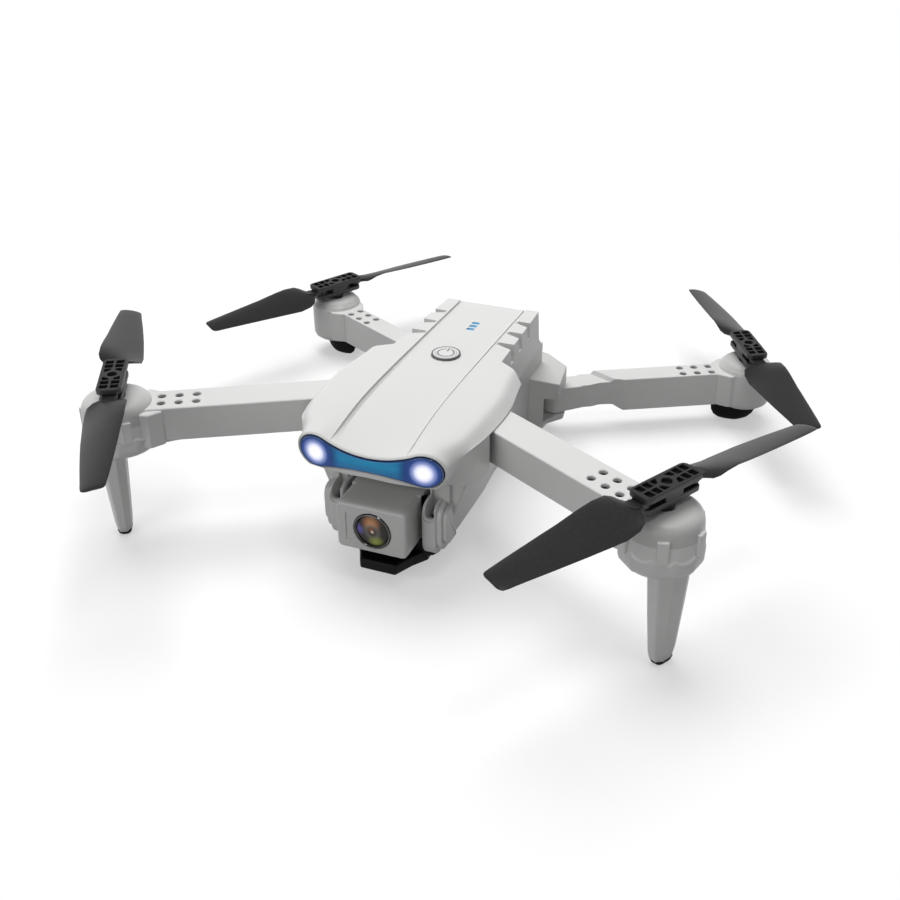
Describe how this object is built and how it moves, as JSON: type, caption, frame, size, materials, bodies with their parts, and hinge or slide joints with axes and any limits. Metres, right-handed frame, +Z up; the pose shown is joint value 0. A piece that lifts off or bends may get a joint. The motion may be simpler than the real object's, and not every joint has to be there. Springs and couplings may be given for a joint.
{
  "type": "folding camera drone",
  "caption": "Folding camera drone with tilting nose camera, light bar, slide-out battery, swing-in arms and folding propeller blades; stands on its legs and pads.",
  "frame": {"origin": "on the ground, in the middle of the four rotor axes", "axes": "+Z up, nose towards -Y, +X is the drone's own left"},
  "size_m": [0.2416, 0.2588, 0.0587],
  "materials": {
    "shell_grey": "satin, fine moulded texture",
    "shell_grey_arm": "satin, fine moulded texture",
    "pod_grey": "satin",
    "bar_blue": "clear gloss over deep blue",
    "led_white": "milky white",
    "black_plastic": "fine matt",
    "blade_grey": "satin, glass-filled nylon",
    "lens_glass": "coated, polished",
    "lens_black": "gloss black",
    "rubber_black": "matt",
    "motor_steel": "drawn can, satin",
    "pin_steel": "ground",
    "board_green": "green solder mask on glass-epoxy",
    "chip_black": "matt moulded resin",
    "battery_wrap": "satin wrap",
    "button_grey": "satin",
    "bezel_silver": "satin silver paint",
    "screw_black": "black oxide"
  },
  "bodies": {
    "hull": {"upper_shell": "shell_grey", "lower_shell": "shell_grey", "belly_tray": "black_plastic", "light_bar": "bar_blue", "headlight_leds": "led_white", "status_lights": "led_white", "button_bezel": "bezel_silver", "control_board": "board_green", "board_parts": "chip_black", "flow_lens": "lens_black", "front_hinge_pins": "pin_steel", "rear_hinge_pins": "pin_steel", "body_screws": "screw_black"},
    "camera": {"camera_housing": "shell_grey", "camera_lens_ring": "lens_black", "camera_lens": "lens_glass", "camera_pivots": "pin_steel"},
    "power_button": {"power_button": "button_grey"},
    "battery": {"battery_pack": "battery_wrap", "battery_cap": "shell_grey"},
    "front_left_arm": {"front_left_arm": "shell_grey_arm", "front_left_pod_cap": "pod_grey", "front_left_motor": "motor_steel", "front_left_foot": "rubber_black"},
    "front_left_prop": {"front_left_prop_hub": "black_plastic", "front_left_clamp_plate": "black_plastic", "front_left_prop_pins": "pin_steel"},
    "front_left_blade_aft": {"front_left_blade_aft": "blade_grey"},
    "front_left_blade_fore": {"front_left_blade_fore": "blade_grey"},
    "rear_left_arm": {"rear_left_arm": "shell_grey_arm", "rear_left_pod_cap": "pod_grey", "rear_left_motor": "motor_steel", "rear_left_foot": "rubber_black"},
    "rear_left_prop": {"rear_left_prop_hub": "black_plastic", "rear_left_clamp_plate": "black_plastic", "rear_left_prop_pins": "pin_steel"},
    "rear_left_blade_aft": {"rear_left_blade_aft": "blade_grey"},
    "rear_left_blade_fore": {"rear_left_blade_fore": "blade_grey"},
    "front_right_arm": {"front_right_arm": "shell_grey_arm", "front_right_pod_cap": "pod_grey", "front_right_motor": "motor_steel", "front_right_foot": "rubber_black"},
    "front_right_prop": {"front_right_prop_hub": "black_plastic", "front_right_clamp_plate": "black_plastic", "front_right_prop_pins": "pin_steel"},
    "front_right_blade_aft": {"front_right_blade_aft": "blade_grey"},
    "front_right_blade_fore": {"front_right_blade_fore": "blade_grey"},
    "rear_right_arm": {"rear_right_arm": "shell_grey_arm", "rear_right_pod_cap": "pod_grey", "rear_right_motor": "motor_steel", "rear_right_foot": "rubber_black"},
    "rear_right_prop": {"rear_right_prop_hub": "black_plastic", "rear_right_clamp_plate": "black_plastic", "rear_right_prop_pins": "pin_steel"},
    "rear_right_blade_aft": {"rear_right_blade_aft": "blade_grey"},
    "rear_right_blade_fore": {"rear_right_blade_fore": "blade_grey"}
  },
  "joints": [
    {"name": "camera_tilt", "type": "hinge", "parent": "hull", "child": "camera", "pos_m": [0, -0.0608, 0.022], "axis": [1, 0, 0], "range_deg": [-10, 25]},
    {"name": "power_button_press", "type": "slide", "parent": "hull", "child": "power_button", "axis": [0, 0, -1], "range_m": [0, 0.0005], "stiffness_N_per_m": 300, "springref_m": -0.0002},
    {"name": "battery_slide", "type": "slide", "parent": "hull", "child": "battery", "axis": [0, 1, 0], "range_m": [0, 0.048]},
    {"name": "front_left_arm_fold", "type": "hinge", "parent": "hull", "child": "front_left_arm", "pos_m": [0.024, -0.0395, 0.0427], "axis": [0, 0, 1], "range_deg": [0, 105.3]},
    {"name": "front_left_prop_spin", "type": "hinge", "parent": "front_left_arm", "child": "front_left_prop", "pos_m": [0.0875, -0.0752, 0.056], "axis": [0, 0, 1], "continuous": true},
    {"name": "front_left_blade_aft_fold", "type": "hinge", "parent": "front_left_prop", "child": "front_left_blade_aft", "pos_m": [0.09212, -0.06679, 0.056], "axis": [0, 0, 1], "range_deg": [0, 90]},
    {"name": "front_left_blade_fore_fold", "type": "hinge", "parent": "front_left_prop", "child": "front_left_blade_fore", "pos_m": [0.08288, -0.08361, 0.056], "axis": [0, 0, -1], "range_deg": [0, 90]},
    {"name": "rear_left_arm_fold", "type": "hinge", "parent": "hull", "child": "rear_left_arm", "pos_m": [0.022, 0.0406, 0.0148], "axis": [0, 0, 1], "range_deg": [-98, 0]},
    {"name": "rear_left_prop_spin", "type": "hinge", "parent": "rear_left_arm", "child": "rear_left_prop", "pos_m": [0.0865, 0.0752, 0.0293], "axis": [0, 0, 1], "continuous": true},
    {"name": "rear_left_blade_aft_fold", "type": "hinge", "parent": "rear_left_prop", "child": "rear_left_blade_aft", "pos_m": [0.08188, 0.08361, 0.0293], "axis": [0, 0, 1], "range_deg": [-87, 0]},
    {"name": "rear_left_blade_fore_fold", "type": "hinge", "parent": "rear_left_prop", "child": "rear_left_blade_fore", "pos_m": [0.09112, 0.06679, 0.0293], "axis": [0, 0, 1], "range_deg": [0, 74]},
    {"name": "front_right_arm_fold", "type": "hinge", "parent": "hull", "child": "front_right_arm", "pos_m": [-0.024, -0.0395, 0.0427], "axis": [0, 0, -1], "range_deg": [0, 105.3]},
    {"name": "front_right_prop_spin", "type": "hinge", "parent": "front_right_arm", "child": "front_right_prop", "pos_m": [-0.0875, -0.0752, 0.056], "axis": [0, 0, -1], "continuous": true},
    {"name": "front_right_blade_aft_fold", "type": "hinge", "parent": "front_right_prop", "child": "front_right_blade_aft", "pos_m": [-0.09212, -0.06679, 0.056], "axis": [0, 0, -1], "range_deg": [0, 90]},
    {"name": "front_right_blade_fore_fold", "type": "hinge", "parent": "front_right_prop", "child": "front_right_blade_fore", "pos_m": [-0.08288, -0.08361, 0.056], "axis": [0, 0, 1], "range_deg": [0, 90]},
    {"name": "rear_right_arm_fold", "type": "hinge", "parent": "hull", "child": "rear_right_arm", "pos_m": [-0.022, 0.0406, 0.0148], "axis": [0, 0, -1], "range_deg": [-98, 0]},
    {"name": "rear_right_prop_spin", "type": "hinge", "parent": "rear_right_arm", "child": "rear_right_prop", "pos_m": [-0.0865, 0.0752, 0.0293], "axis": [0, 0, -1], "continuous": true},
    {"name": "rear_right_blade_aft_fold", "type": "hinge", "parent": "rear_right_prop", "child": "rear_right_blade_aft", "pos_m": [-0.08188, 0.08361, 0.0293], "axis": [0, 0, -1], "range_deg": [-87, 0]},
    {"name": "rear_right_blade_fore_fold", "type": "hinge", "parent": "rear_right_prop", "child": "rear_right_blade_fore", "pos_m": [-0.09112, 0.06679, 0.0293], "axis": [0, 0, -1], "range_deg": [0, 74]}
  ],
  "couplings": [
    {"joint": "rear_left_blade_aft_fold", "follows": "rear_left_arm_fold", "ratio": 0.88},
    {"joint": "rear_left_blade_fore_fold", "follows": "rear_left_arm_fold", "ratio": -0.75},
    {"joint": "rear_right_blade_aft_fold", "follows": "rear_right_arm_fold", "ratio": 0.88},
    {"joint": "rear_right_blade_fore_fold", "follows": "rear_right_arm_fold", "ratio": -0.75}
  ]
}
